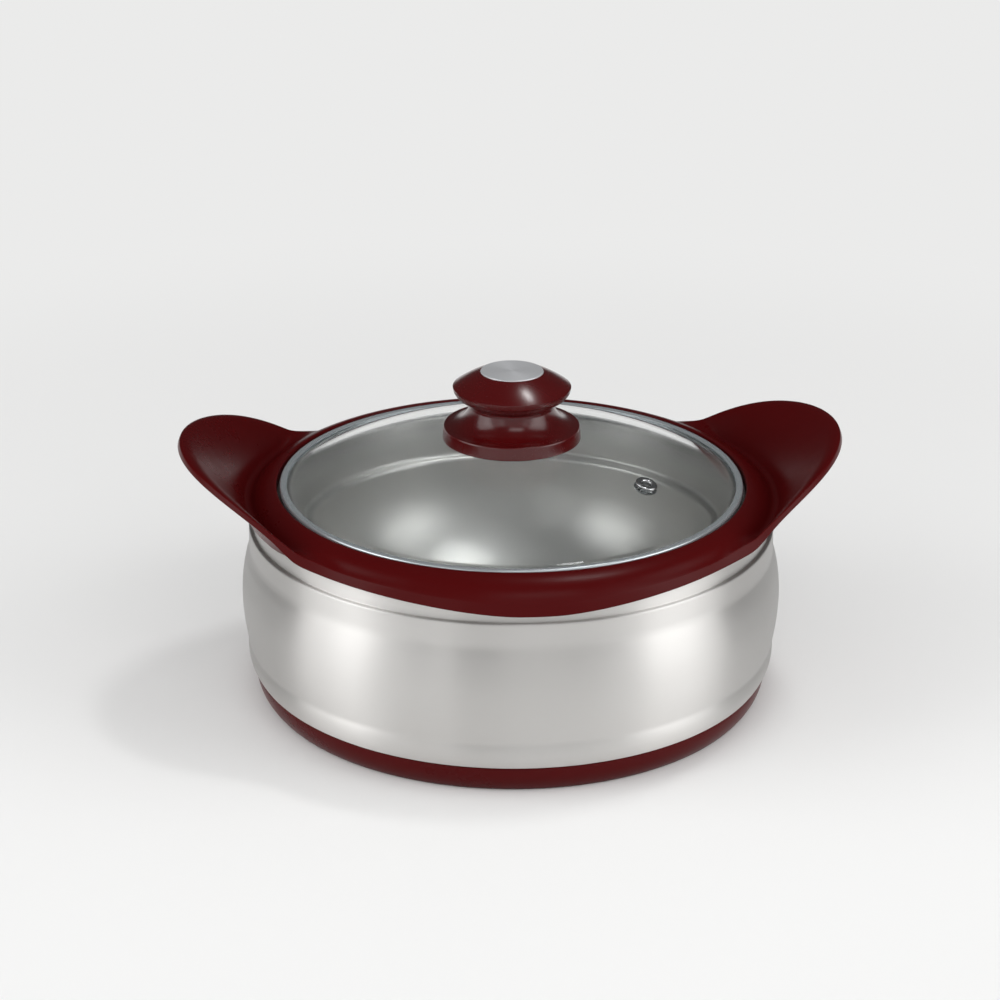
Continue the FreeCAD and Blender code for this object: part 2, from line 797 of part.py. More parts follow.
def make_knob_flange():
    bore = d.screw_radius + d.fit
    inner = d.flange_radius - d.flange_wall
    foot_outer = dome_height(d.flange_radius) - glass_top + d.loose_fit
    foot_inner = dome_height(inner) - glass_top + d.loose_fit
    crease = d.flange_radius - d.flange_lean
    pad_top = d.glass_play + d.pad_thick
    path = Path(bore, pad_top).line(d.flange_boss, pad_top)
    path.line(d.flange_boss, d.flange_hollow).line(inner, d.flange_hollow)
    path.line(inner, foot_inner).line(d.flange_radius, foot_outer)
    path.line(crease, d.flange_rise)
    path.arc(d.waist_radius, d.flange_top, d.flange_bow, RIGHT)
    path.line(bore, d.flange_top)
    return stand_on_glass(turned_body("knob_flange", path))


def make_knob_grip():
    base = d.flange_top
    pocket = d.insert_radius + d.fit / 2
    pocket_top = base + d.insert_sunk + d.insert_length + d.screw_tip
    cap_seat = base + d.grip_rise + d.cap_proud - d.cap_thick
    top = base + d.grip_rise
    cap_pocket = d.cap_radius + d.fit
    path = Path(pocket, base).line(d.waist_radius, base)
    path.line(d.waist_radius, base + d.waist_rise)
    path.line(d.grip_crease_radius, base + d.grip_crease_rise)
    path.arc(d.grip_radius, base + d.grip_widest, d.grip_side_bow, LEFT)
    path.arc(cap_pocket + d.fit, top, d.grip_cone_bow, LEFT)
    path.line(cap_pocket, top).line(cap_pocket, cap_seat).line(ZERO, cap_seat)
    path.line(ZERO, pocket_top).line(pocket, pocket_top)
    return stand_on_glass(turned_body("knob_grip", path))


def make_knob_cap():
    seat = d.flange_top + d.grip_rise + d.cap_proud - d.cap_thick
    top = seat + d.cap_thick
    path = Path(ZERO, seat).line(d.cap_radius, seat).line(d.cap_radius, top - d.cap_bevel)
    path.line(d.cap_radius - d.cap_bevel, top).line(ZERO, top)
    return stand_on_glass(turned_body("knob_cap", path))


def make_knob_insert():
    bottom = d.flange_top + d.insert_sunk
    bore = d.screw_radius + d.fit / 2
    path = Path(bore, bottom).line(d.insert_radius, bottom)
    path.line(d.insert_radius, bottom + d.insert_length).line(bore, bottom + d.insert_length)
    return stand_on_glass(turned_body("knob_insert", path))


# From the glass down: soft pad, washer, screw head
def make_knob_screw():
    seat = pad_seat - d.pad_thick - d.washer_thick
    head = seat - d.screw_head_thick
    tip = d.flange_top + d.insert_sunk + d.insert_length
    path = Path(ZERO, head).line(d.screw_head - d.screw_head_bevel, head)
    path.line(d.screw_head, head + d.screw_head_bevel)
    path.line(d.screw_head, seat).line(d.screw_radius, seat)
    path.line(d.screw_radius, tip - d.screw_tip / 2).line(d.screw_radius - d.screw_tip / 2, tip)
    path.line(ZERO, tip)
    return stand_on_glass(turned_body("knob_screw", path))


# A flat ring round the screw, with its underside at this height
def make_washer(label, outer, bottom, thick):
    bore = d.screw_radius + d.fit
    path = Path(bore, bottom).line(outer, bottom).line(outer, bottom + thick)
    path.line(bore, bottom + thick)
    return stand_on_glass(turned_body(label, path))


# The soft pads lie on both faces of the glass, and a steel washer spreads the screw's load
def make_washers():
    lower_pad = pad_seat - d.pad_thick
    return [
        make_washer("seal_washer_upper", d.pad_radius, d.glass_play, d.pad_thick),
        make_washer("seal_washer_lower", d.pad_radius, lower_pad, d.pad_thick),
        make_washer("screw_washer", d.washer_radius, lower_pad - d.washer_thick, d.washer_thick),
    ]


def check(node):
    for part in [node] + node.OutListRecursive:
        if "Invalid" in part.State or "Error" in part.State:
            raise RuntimeError(f"{node.Label}: {part.Name} is {part.State}")
    if node.Shape.isNull() or not node.Shape.isValid() or not node.Shape.Solids:
        raise RuntimeError(f"{node.Label} has no valid solid")


nodes = [
    make_outer_shell(), make_inner_bowl(), make_foam(), make_base_ring(), make_base_plate(),
    make_fill_plug(), make_bowl_seal(), make_collar(), make_steel_rim(), make_glass_dome(),
    make_vent_eyelet(), make_vent_washer(), make_knob_flange(), make_knob_grip(), make_knob_cap(),
    make_knob_insert(), make_knob_screw(),
] + make_washers()
doc.recompute()
for node in nodes:
    check(node)
os.makedirs("parts", exist_ok=True)
for node in nodes:
    node.Shape.exportStep(f"parts/{node.Label}.step")
    box = node.Shape.BoundBox
    print(f"{node.Label}: {len(node.Shape.Solids)} solid, {node.Shape.Volume:.0f} mm3,"
          f" z {box.ZMin:.2f} to {box.ZMax:.2f}, x {box.XMax:.2f}")
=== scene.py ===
import math

import bpy
import numpy as np
from mathutils import Matrix, Vector


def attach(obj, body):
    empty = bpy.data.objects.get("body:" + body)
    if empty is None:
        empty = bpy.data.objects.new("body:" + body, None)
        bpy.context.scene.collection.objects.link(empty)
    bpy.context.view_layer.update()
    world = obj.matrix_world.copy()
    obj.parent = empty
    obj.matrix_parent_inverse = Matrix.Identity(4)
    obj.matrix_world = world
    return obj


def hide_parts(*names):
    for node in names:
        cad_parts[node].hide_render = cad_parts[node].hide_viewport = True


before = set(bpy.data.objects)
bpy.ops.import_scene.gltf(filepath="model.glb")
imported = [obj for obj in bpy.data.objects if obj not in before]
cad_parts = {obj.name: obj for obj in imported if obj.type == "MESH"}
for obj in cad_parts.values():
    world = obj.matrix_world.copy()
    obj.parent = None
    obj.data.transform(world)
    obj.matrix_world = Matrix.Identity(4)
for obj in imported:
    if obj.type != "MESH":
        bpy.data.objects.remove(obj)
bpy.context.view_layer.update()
left, right = 1, -1  # which way an arc turns
metre = 0.001  # meshes are in metres, and all sizes here are in millimetres


# Centre of an arc from one point to another
def arcCentre(start, end, radius, turn):
    chordX, chordZ = end[0] - start[0], end[1] - start[1]
    chord = math.hypot(chordX, chordZ)
    reach = math.sqrt(max(radius ** 2 - (chord / 2) ** 2, 0)) * turn / chord
    return (start[0] + end[0]) / 2 - chordZ * reach, (start[1] + end[1]) / 2 + chordX * reach


# A rounded corner: a curve from near a, past corner, to near b
def rounding(a, corner, b, steps):
    a, corner, b = np.array(a), np.array(corner), np.array(b)
    shares = np.linspace(0, 1, steps + 1)
    return [tuple(a * (1 - t) ** 2 + corner * 2 * t * (1 - t) + b * t * t) for t in shares]


# The point reached from one corner towards the next, short of it
def towards(start, end, reach):
    share = min(reach / math.dist(start, end), 0.49)
    return start[0] + (end[0] - start[0]) * share, start[1] + (end[1] - start[1]) * share


def roundedCorner(a, corner, b, reach, steps):
    return rounding(towards(corner, a, reach), corner, towards(corner, b, reach), steps)


# A closed outline of (radius, height), drawn point by point. The third number of a corner is
# how far from it the rounding starts. The inner points of an arc have None and give way to it.
class Outline:
    def __init__(self, r, z, soft=0):
        self.points = [(r, z, soft)]

    def to(self, r, z, soft=0):
        self.points.append((r, z, soft))
        return self

    def bow(self, r, z, radius, turn, soft=0, steps=14):
        start = self.points[-1][:2]
        middle = arcCentre(start, (r, z), radius, turn)
        begin = math.atan2(start[1] - middle[1], start[0] - middle[0])
        sweep = math.atan2(z - middle[1], r - middle[0]) - begin
        sweep = (sweep * turn) % (2 * math.pi) * turn
        for step in range(1, steps):
            angle = begin + sweep * step / steps
            self.points.append((middle[0] + radius * math.cos(angle),
                                middle[1] + radius * math.sin(angle), None))
        return self.to(r, z, soft)

    # Walks from a corner one way to where its rounding starts, and lists the points passed
    def walk(self, index, step):
        reach, passed = self.points[index][2], []
        while True:
            onward = (index + step) % len(self.points)
            here, there = self.points[index], self.points[onward]
            length = math.dist(here[:2], there[:2])
            if there[2] is not None or reach < length:
                return towards(here[:2], there[:2], reach), passed
            reach -= length
            passed.append(onward)
            index = onward

    # All points, with corners rounded and a ring held close to both ends of each long flat stretch
    def finished(self, hold=0.1, longest=1.6, steps=6):
        rounded, passed = {}, set()
        for index, (r, z, soft) in enumerate(self.points):
            if soft:
                (before, gone), (after, lost) = self.walk(index, -1), self.walk(index, 1)
                rounded[index] = rounding(before, (r, z), after, steps)
                passed.update(gone + lost)
        corners = []
        for index, (r, z, soft) in enumerate(self.points):
            if index not in passed:
                corners += [(*point, soft is None) for point in rounded.get(index, [(r, z)])]
        held = []
        for (*here, bent), (*there, bends) in zip(corners, corners[1:] + corners[:1]):
            held.append(tuple(here))
            flat = not bent and not bends and max(here[0], there[0]) > hold
            if flat and math.dist(here, there) > longest:
                held += [towards(here, there, hold), towards(there, here, hold)]
        return held


# The outline of a bent sheet: along one face, then back along the other
def sheetOutline(face, thickness):
    section = face(0)
    section.points += face(thickness).points[::-1]
    return section.finished()


# Smooth shading that keeps edges sharper than the given angle
def shade(mesh, sharpest=38):
    mesh.shade_smooth()
    mesh.set_sharp_from_angle(angle=math.radians(sharpest))


def newPiece(name, points, faces, finish):
    mesh = bpy.data.meshes.new(name)
    mesh.from_pydata([tuple(p * metre for p in point) for point in points], [], faces)
    mesh.materials.append(finish)
    shade(mesh)
    piece = bpy.data.objects.new(name, mesh)
    bpy.context.collection.objects.link(piece)
    return piece


# Gives a piece the mesh that its modifier makes of it
def settle(piece, modifier):
    made = bpy.data.meshes.new_from_object(piece.evaluated_get(bpy.context.evaluated_depsgraph_get()))
    piece.modifiers.remove(modifier)
    piece.data = made


# Turns a closed outline round the Z axis. A point on the axis is one vertex.
def turned(name, outline, finish, around):
    rings, points = [], []
    angles = [2 * math.pi * step / around for step in range(around)]
    for r, z in outline:
        if r == 0:
            rings.append([len(points)])
            points.append((0, 0, z))
        else:
            rings.append(range(len(points), len(points) + around))
            points += [(r * math.cos(a), r * math.sin(a), z) for a in angles]
    faces = []
    for low, high in zip(rings, rings[1:] + rings[:1]):
        if len(low) == 1 and len(high) == 1:
            continue
        for step in range(around):
            onward = (step + 1) % around
            corners = [low[step % len(low)], low[onward % len(low)],
                       high[onward % len(high)], high[step % len(high)]]
            faces.append(list(dict.fromkeys(corners)))
    return newPiece(name, points, faces, finish)


# A socket in an expression; each operator adds a Math node
class Wire:
    def __init__(self, tree, socket):
        self.tree = tree
        self.socket = socket

    def math(self, operation, *values):
        return self.tree.node("ShaderNodeMath", {"operation": operation}, *values)

    def __add__(self, other):
        return self.math("ADD", self, other)

    def __sub__(self, other):
        return self.math("SUBTRACT", self, other)

    def __rsub__(self, other):
        return self.math("SUBTRACT", other, self)

    def __mul__(self, other):
        return self.math("MULTIPLY", self, other)

    def __pow__(self, other):
        return self.math("POWER", self, other)

    def least(self, other):
        return self.math("MINIMUM", self, other)

    def most(self, other):
        return self.math("MAXIMUM", self, other)

    # 0 below low, 1 above high, and an even curve between
    def eased(self, low, high):
        settings = {"interpolation_type": "SMOOTHSTEP"}
        return self.tree.node("ShaderNodeMapRange", settings, self, low, high)

    def split(self):
        parts = self.tree.node("ShaderNodeSeparateXYZ", {}, self).socket.node.outputs
        return [Wire(self.tree, parts[axis]) for axis in "XYZ"]

    __radd__ = __add__
    __rmul__ = __mul__


# A node tree that is built in the script
class Tree:
    def __init__(self, tree):
        self.tree = tree

    # Adds a node: its settings first, then values or wires by place or by input name
    def node(self, kind, settings, *values, out=0, **named):
        made = self.tree.nodes.new(kind)
        for key, value in settings.items():
            if key == "stops":
                ramp = made.color_ramp
                while len(ramp.elements) < len(value):
                    ramp.elements.new(0.5)
                for element, (place, shade) in zip(ramp.elements, value):
                    element.position = place
                    element.color = (shade, shade, shade, 1)
            else:
                setattr(made, key, value)
        for key, value in list(enumerate(values)) + list(named.items()):
            self.plug(value, made.inputs[key.replace("_", " ") if isinstance(key, str) else key])
        return Wire(self, made.outputs[out])

    def plug(self, value, socket):
        if isinstance(value, Wire):
            self.tree.links.new(value.socket, socket)
        else:
            socket.default_value = value

    # 1 where the camera looks straight, and 1 where it looks in a mirror or through glass
    def inView(self):
        path = self.node("ShaderNodeLightPath", {}).socket.node.outputs
        camera, glossy, through = (Wire(self, path[f"Is {kind} Ray"])
                                   for kind in ("Camera", "Glossy", "Transmission"))
        return camera, glossy.most(through)


# A material, with what the finishes have in common
class Finish(Tree):
    def __init__(self, name, **constants):
        self.material = bpy.data.materials.new(name)
        self.material.use_nodes = True
        super().__init__(self.material.node_tree)
        self.shader = self.tree.nodes["Principled BSDF"]
        self.set(**constants)

    def place(self):
        return self.node("ShaderNodeTexCoord", {}, out="Object")

    # Object coordinates stretched along each axis
    def stretched(self, x, y, z):
        return self.node("ShaderNodeVectorMath", {"operation": "MULTIPLY"}, self.place(), (x, y, z))

    def fromAxis(self):
        flat = self.stretched(1, 1, 0)
        return self.node("ShaderNodeVectorMath", {"operation": "LENGTH"}, flat, out="Value")

    def noise(self, vector, scale, detail=2, rough=0.5):
        return self.node("ShaderNodeTexNoise", {}, Vector=vector, Scale=scale, Detail=detail,
                         Roughness=rough)

    def mixColours(self, factor, first, second):
        made = self.node("ShaderNodeMix", {"data_type": "RGBA"}, factor, out=2)
        for colour, socket in ((first, 6), (second, 7)):  # the sockets that take colours
            self.plug(colour + (1,), made.socket.node.inputs[socket])
        return made

    def bump(self, height, distance, strength):
        return self.node("ShaderNodeBump", {}, Strength=strength, Distance=distance, Height=height)

    def set(self, **values):
        for name, value in values.items():
            self.plug(value, self.shader.inputs[name.replace("_", " ")])

    # Gives way to another shader by a share
    def giveWay(self, share, other):
        own = Wire(self, self.shader.outputs[0])
        mixed = self.node("ShaderNodeMixShader", {}, share, own, other)
        self.plug(mixed, self.tree.nodes["Material Output"].inputs["Surface"])


# Spun sheet steel: fine turning lines round the axis, and faint cloudy patches. "lines" are how
# fast the turning lines change round the axis, up it and away from it.
def spunSteel(name, steel):
    detail = {"clouds": 14, "grooveDepth": 0.00002, "grooveShare": 0.08, "cloudShare": 0.05}
    finish = Finish(name, Metallic=steel["metal"], Anisotropic=steel["stretch"],
                    Anisotropic_Rotation=0.25)
    along, upward, outward = steel["lines"]
    x, y, height = finish.place().split()
    lines = finish.node("ShaderNodeCombineXYZ", {}, x * along, y * along,
                        finish.fromAxis() * outward + height * upward)
    grooves = finish.noise(lines, 1.0, 3, 0.6)
    clouds = finish.noise(finish.place(), detail["clouds"])
    rough = steel["rough"] + (grooves - 0.5) * detail["grooveShare"]
    finish.set(Base_Color=finish.mixColours(clouds, steel["dark"], steel["pale"]),
               Roughness=rough + (clouds - 0.5) * detail["cloudShare"],
               Normal=finish.bump(grooves, detail["grooveDepth"], steel["bump"]))
    return finish.material


# Moulded plastic: even colour with a trace of flow, light handling wear and a little dust
def mouldedPlastic(name, plastic):
    detail = {"flow": 9, "wear": 55, "dust": 1500, "flowShare": 0.1, "wearShare": 0.05,
              "dustShare": 0.06, "peelDepth": 0.0004}
    finish = Finish(name, IOR=1.5, Specular_IOR_Level=plastic["shine"], Coat_Weight=plastic["coat"],
                    Coat_Roughness=plastic["coatRough"])
    flow = finish.noise(finish.stretched(1, 1, 2.5), detail["flow"], 3)
    wear = finish.noise(finish.place(), detail["wear"], 4, 0.65).eased(0.45, 0.75)
    dust = finish.noise(finish.place(), detail["dust"], 1).eased(0.62, 0.8)
    rough = plastic["rough"] + (flow - 0.5) * detail["flowShare"] + wear * detail["wearShare"]
    finish.set(Base_Color=finish.mixColours(flow, plastic["deep"], plastic["light"]),
               Roughness=rough + dust * detail["dustShare"],
               Normal=finish.bump(flow, detail["peelDepth"], plastic["peel"]))
    return finish.material


# Clear glass with faint wipe marks. Shadow rays pass it almost as if it weren't there.
def clearGlass(name, glass):
    finish = Finish(name, Base_Color=glass["tint"] + (1,), IOR=glass["ior"], Transmission_Weight=1.0)
    wipes = finish.noise(finish.stretched(1, 1.8, 1), glass["wipes"], 3)
    finish.set(Roughness=wipes * glass["smear"])
    clear = finish.node("ShaderNodeBsdfTransparent", {}, glass["shadow"] + (1,))
    finish.giveWay(finish.node("ShaderNodeLightPath", {}, out="Is Shadow Ray"), clear)
    return finish.material


# Rubber with a dull bloom
def plainRubber(name, rubber):
    finish = Finish(name)
    bloom = finish.noise(finish.place(), rubber["bloom"], 3)
    finish.set(Base_Color=finish.mixColours(bloom, rubber["dark"], rubber["pale"]),
               Roughness=rubber["rough"] + bloom * 0.25, Normal=finish.bump(bloom, 0.0003, 0.3))
    return finish.material


# Foam with small closed cells
def rigidFoam(name, foam):
    finish = Finish(name)
    cells = finish.node("ShaderNodeTexVoronoi", {}, Vector=finish.place(), Scale=foam["cells"])
    patches = finish.noise(finish.place(), foam["patches"], 3)
    finish.set(Base_Color=finish.mixColours(patches, foam["dark"], foam["pale"]),
               Roughness=foam["rough"] + cells * 0.15, Normal=finish.bump(cells, 0.0006, 0.6))
    return finish.material


# Turned or plated metal with fine level lines
def turnedMetal(name, metal):
    finish = Finish(name, Metallic=1.0)
    grain = finish.noise(finish.stretched(*metal["lines"]), 1.0)
    finish.set(Base_Color=finish.mixColours(grain, metal["dark"], metal["pale"]),
               Roughness=metal["rough"] + grain * 0.12, Normal=finish.bump(grain, 0.00005, 0.1))
    return finish.material


shellSteel = spunSteel("polished shell steel", {
    "stretch": 0.94, "lines": (3, 2200, 0), "rough": 0.43, "bump": 0.04, "metal": 1.0,
    "dark": (0.67, 0.655, 0.635), "pale": (0.75, 0.74, 0.725)})
bowlSteel = spunSteel("satin bowl steel", {
    "stretch": 0.6, "lines": (2, 330, 330), "rough": 0.44, "bump": 0.01, "metal": 1.0,
    "dark": (0.60, 0.59, 0.575), "pale": (0.69, 0.685, 0.67)})
rimSteel = spunSteel("folded rim steel", {
    "stretch": 0.3, "lines": (2, 90, 90), "rough": 0.26, "bump": 0.005, "metal": 0.7,
    "dark": (0.58, 0.63, 0.66), "pale": (0.68, 0.73, 0.76)})
capMetal = spunSteel("satin cap aluminium", {
    "stretch": 0.5, "lines": (3, 2600, 2600), "rough": 0.45, "bump": 0.06, "metal": 0.6,
    "dark": (0.70, 0.71, 0.73), "pale": (0.82, 0.83, 0.85)})
satinMaroon = mouldedPlastic("satin maroon plastic", {
    "deep": (0.056, 0.0014, 0.0018), "light": (0.069, 0.0021, 0.0025), "rough": 0.28, "peel": 0.02,
    "shine": 0.1, "coat": 0.0, "coatRough": 0.3})
glossyMaroon = mouldedPlastic("glossy maroon plastic", {
    "deep": (0.056, 0.0014, 0.0018), "light": (0.074, 0.0022, 0.0026), "rough": 0.22, "peel": 0.02,
    "shine": 0.35, "coat": 0.45, "coatRough": 0.2})
lidGlass = clearGlass("toughened lid glass", {
    "tint": (0.97, 0.99, 0.985), "shadow": (0.97, 0.98, 0.98), "ior": 1.46, "smear": 0.03,
    "wipes": 11})
blackRubber = plainRubber("black seal rubber", {
    "bloom": 160, "rough": 0.6, "dark": (0.012, 0.012, 0.013), "pale": (0.03, 0.03, 0.032)})
yellowFoam = rigidFoam("rigid yellow foam", {
    "cells": 900.0, "patches": 40, "rough": 0.8, "dark": (0.72, 0.58, 0.3), "pale": (0.85, 0.74, 0.48)})
zincSteel = turnedMetal("bright zinc steel", {
    "lines": (40, 40, 2600), "rough": 0.2, "dark": (0.63, 0.64, 0.65), "pale": (0.70, 0.71, 0.72)})
yellowBrass = turnedMetal("turned brass", {
    "lines": (40, 40, 2600), "rough": 0.25, "dark": (0.65, 0.45, 0.18), "pale": (0.72, 0.50, 0.20)})
print("materials made")


# The barrel: a rolled foot, a belly of two arcs, and a shoulder that steps in to the neck
def makeShell():
    shell = {"belly": 126.2, "bellyHeight": 48.0, "foot": 118.3, "bottom": 7.2, "hole": 98.4,
             "sheet": 0.6, "upperBow": 70.0, "lowerBow": 100.0, "lowerTurn": 13.0, "rollBow": 15.0,
             "roll": 121.3, "rollFoot": 12.7, "shoulder": 122.3, "shoulderTop": 82.2,
             "neck": 120.4, "neckTop": 89.4, "cove": 14.0, "footRound": 2.0, "creaseRound": 0.4,
             "rollRound": 0.7, "rollEnd": 1.4, "shoulderRound": 1.2, "neckRound": 0.5, "around": 360}
    lowest = math.radians(shell["lowerTurn"])
    bowCentre = shell["belly"] - shell["upperBow"]
    reach = shell["upperBow"] + shell["cove"]
    highest = math.acos((shell["shoulder"] + shell["cove"] - bowCentre) / reach)

    def side(inset):
        lower, upper = shell["lowerBow"] - inset, shell["upperBow"] - inset
        path = Outline(shell["hole"], shell["bottom"] + inset)
        path.to(shell["foot"] - inset, shell["bottom"] + inset, shell["footRound"] - inset)
        path.to(shell["foot"] - inset, shell["rollFoot"] + inset, shell["creaseRound"])
        path.to(shell["roll"] - inset, shell["rollFoot"] + inset, shell["rollRound"] - inset)
        path.bow(shell["belly"] - shell["lowerBow"] + lower * math.cos(lowest),
                 shell["bellyHeight"] - lower * math.sin(lowest), shell["rollBow"] - inset, left,
                 shell["rollEnd"])
        path.bow(shell["belly"] - inset, shell["bellyHeight"], lower, left, steps=18)
        path.bow(bowCentre + upper * math.cos(highest), shell["bellyHeight"] + upper * math.sin(highest),
                 upper, left, steps=20)
        path.bow(shell["shoulder"] - inset, shell["bellyHeight"] + reach * math.sin(highest),
                 shell["cove"] + inset, right, steps=8)
        path.to(shell["shoulder"] - inset, shell["shoulderTop"] - inset, shell["shoulderRound"] - inset)
        path.to(shell["neck"] - inset, shell["shoulderTop"] - inset, shell["neckRound"] + inset)
        return path.to(shell["neck"] - inset, shell["neckTop"])

    piece = turned("outerShell", sheetOutline(side, shell["sheet"]), shellSteel, shell["around"])
    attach(piece, "casserole")
    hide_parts("outer_shell")


# The food bowl: a level flange, a flared upper wall, a step, and a floor with a wide round
def makeBowl():
    bowl = {"flangeEdge": 108.7, "flangeTop": 96.2, "mouth": 102.3, "upper": 99.6, "flareFoot": 79.0,
            "flareBow": 55.0, "stepHeight": 75.2, "lower": 95.0, "floor": 23.0, "floorRound": 43.92,
            "sheet": 0.6, "mouthRound": 1.6, "stepRound": 2.6, "around": 600}

    def inside(shift):
        path = Outline(bowl["flangeEdge"], bowl["flangeTop"] - shift)
        path.to(bowl["mouth"] + shift, bowl["flangeTop"] - shift, bowl["mouthRound"] - shift)
        path.bow(bowl["upper"] + shift, bowl["flareFoot"], bowl["flareBow"] - shift, left, steps=12)
        path.to(bowl["upper"] + shift, bowl["stepHeight"] - shift, bowl["stepRound"] + shift)
        path.to(bowl["lower"] + shift, bowl["stepHeight"] - shift, bowl["stepRound"] - shift)
        path.to(bowl["lower"] + shift, bowl["floor"] + bowl["floorRound"])
        path.bow(bowl["lower"] - bowl["floorRound"], bowl["floor"] - shift,
                 bowl["floorRound"] + shift, right, steps=22)
        return path.to(0, bowl["floor"] - shift)

    piece = turned("innerBowl", sheetOutline(inside, bowl["sheet"]), bowlSteel, bowl["around"])
    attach(piece, "casserole")
    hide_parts("inner_bowl")


# The base ring: a foot, a bowed side up to the shell, and a ledge inside for the plate
def makeBase():
    base = {"edge": 121.0, "edgeTop": 11.5, "top": 12.5, "topEdge": 120.8, "inner": 118.5,
            "foot": 116.6, "footRise": 0.1, "footInner": 109.0, "ledge": 104.0, "ledgeTop": 5.0,
            "plate": 115.4, "seat": 7.2, "relief": 2.4, "bow": 15.3, "footRound": 0.6,
            "footEdge": 0.5, "topRound": 0.5, "innerRound": 0.3, "around": 300}
    section = Outline(base["ledge"], base["relief"])
    section.to(base["footInner"], base["relief"], base["footRound"])
    section.to(base["footInner"], 0, base["footEdge"])
    section.to(base["foot"], base["footRise"], base["footRound"])
    section.bow(base["edge"], base["edgeTop"], base["bow"], left)
    section.to(base["topEdge"], base["top"], base["topRound"])
    section.to(base["inner"], base["top"], base["innerRound"])
    section.to(base["inner"], base["seat"]).to(base["plate"], base["seat"])
    section.to(base["plate"], base["ledgeTop"]).to(base["ledge"], base["ledgeTop"])
    piece = turned("baseRing", section.finished(), satinMaroon, base["around"])
    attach(piece, "casserole")
    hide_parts("base_ring")


makeShell()
makeBowl()
makeBase()
print("body made")


# The collar with its two wings. "ring" sizes hold at the front and back, between the bearings
# ringStart and ringFull from the wings' middle, and "crossing" sizes where the valley runs out.
collar = {"recess": 109.0, "crest": 100.7, "crestRound": 1.0, "crestBow": 18.0, "foot": 87.0,
          "rim": 123.7, "wingCentre": 85.0, "wing": 81.5, "blend": 78.0, "draft": 20.7,
          "valley": 122.5, "valleyHeight": 91.8, "valleySide": 0.9, "valleyRound": 2.6,
          "span": 160.0, "tipHeight": 130.0, "wingBow": 71.0, "wall": 2.5, "lipDrop": 5.3,
          "lipWall": 1.92, "ledge": 103.0, "ledgeTop": 94.9, "ledgeFoot": 92.4,
          "skirtOuter": 105.0, "skirtFoot": 88.0, "coreWall": 111.5,
          "neckSkirt": (117.5, 119.5), "neckSkirtFoot": 84.5,
          "borderWide": 6.6, "borderDrop": 2.2, "borderCurve": 2.4,
          "crestReach": 121.2, "ringStart": 44.0, "ringFull": 88.0, "ringDrop": 0.9, "ringLip": 0.4,
          "wingStart": 122.0, "wingFull": 136.0, "crossing": 125.5, "crossingWide": 5.0,
          "crossingRound": 5.0, "crossingFlat": 0.7, "lipInnerRound": 0.4, "lipRound": 0.6,
          "edgeRound": 0.8, "leastStep": 0.6, "nearest": 110.5, "farthest": 168.0, "around": 720}
collarDraft = math.tan(math.radians(collar["draft"]))


# The upper face's crest and wing arcs, and a valley arc of the given radius that touches both.
# Where ring is 1 there is no valley, and the crest runs on straight to the edge.
class Face:
    def __init__(self, valleyRound, ring=0.0):
        low = collar["valleyHeight"] + collar["valleySide"]
        start = collar["recess"] + collar["crestRound"], collar["crest"]
        dip = collar["valley"] - collar["valleySide"], low
        rise = collar["valley"] + collar["valleySide"], low
        crest = arcCentre(start, dip, collar["crestBow"], right)
        wing = arcCentre(rise, (collar["span"], collar["tipHeight"]), collar["wingBow"], right)
        toCrest, toWing = collar["crestBow"] + valleyRound, collar["wingBow"] + valleyRound
        apart = math.dist(crest, wing)
        along = (toCrest ** 2 - toWing ** 2 + apart ** 2) / (2 * apart)
        above = np.sqrt(toCrest ** 2 - along ** 2)
        ux, uz = (wing[0] - crest[0]) / apart, (wing[1] - crest[1]) / apart
        self.valley = crest[0] + ux * along - uz * above, crest[1] + uz * along + ux * above
        self.crestEnd = crest[0] + (self.valley[0] - crest[0]) * collar["crestBow"] / toCrest
        self.wingStart = wing[0] + (self.valley[0] - wing[0]) * collar["wingBow"] / toWing
        self.crest, self.wing, self.valleyRound, self.ring = crest, wing, valleyRound, ring

    def height(self, r):
        def bow(middle, radius):
            return np.sqrt(np.clip(radius ** 2 - (r - middle[0]) ** 2, 0, None))

        onCrest = self.crest[1] + bow(self.crest, collar["crestBow"])
        inValley = self.valley[1] - bow(self.valley, self.valleyRound)
        onWing = self.wing[1] + bow(self.wing, collar["wingBow"])
        raised = np.where(r < self.wingStart, inValley, onWing)
        across = collar["crestReach"] - self.crest[0]
        high = math.sqrt(collar["crestBow"] ** 2 - across ** 2)
        fallen = self.crest[1] + high - (r - collar["crestReach"]) * across / high
        fallen = np.where(r < collar["crestReach"], onCrest, fallen)
        return np.where(r < self.crestEnd, onCrest, raised + (fallen - raised) * self.ring)


# Distance from the axis to the plan's outline in each direction, moved inwards by inset
def planReach(angle, inset):
    toRim, toWing = collar["rim"] + collar["blend"], collar["wing"] + collar["blend"]
    centre = collar["wingCentre"]
    blendX = (toRim ** 2 - toWing ** 2 + centre ** 2) / (2 * centre)
    blendY = math.sqrt(toRim ** 2 - blendX ** 2)
    rim, wing, blend = collar["rim"] - inset, collar["wing"] - inset, collar["blend"] + inset
    ax, ay = np.abs(np.cos(angle)), np.abs(np.sin(angle))
    onWing = ax * centre + np.sqrt(np.clip(wing ** 2 - (ay * centre) ** 2, 0, None))
    along = ax * blendX + ay * blendY
    off = blendX ** 2 + blendY ** 2 - blend ** 2
    onBlend = along - np.sqrt(np.clip(along ** 2 - off, 0, None))
    wingEndX = centre + (blendX - centre) * wing / toWing
    wingEnd = np.arctan2(blendY * wing / toWing, wingEndX)
    rimEnd = math.atan2(blendY, blendX)
    bearing = np.arctan2(ay, ax)
    return np.where(bearing <= wingEnd, onWing, np.where(bearing < rimEnd, onBlend, rim))


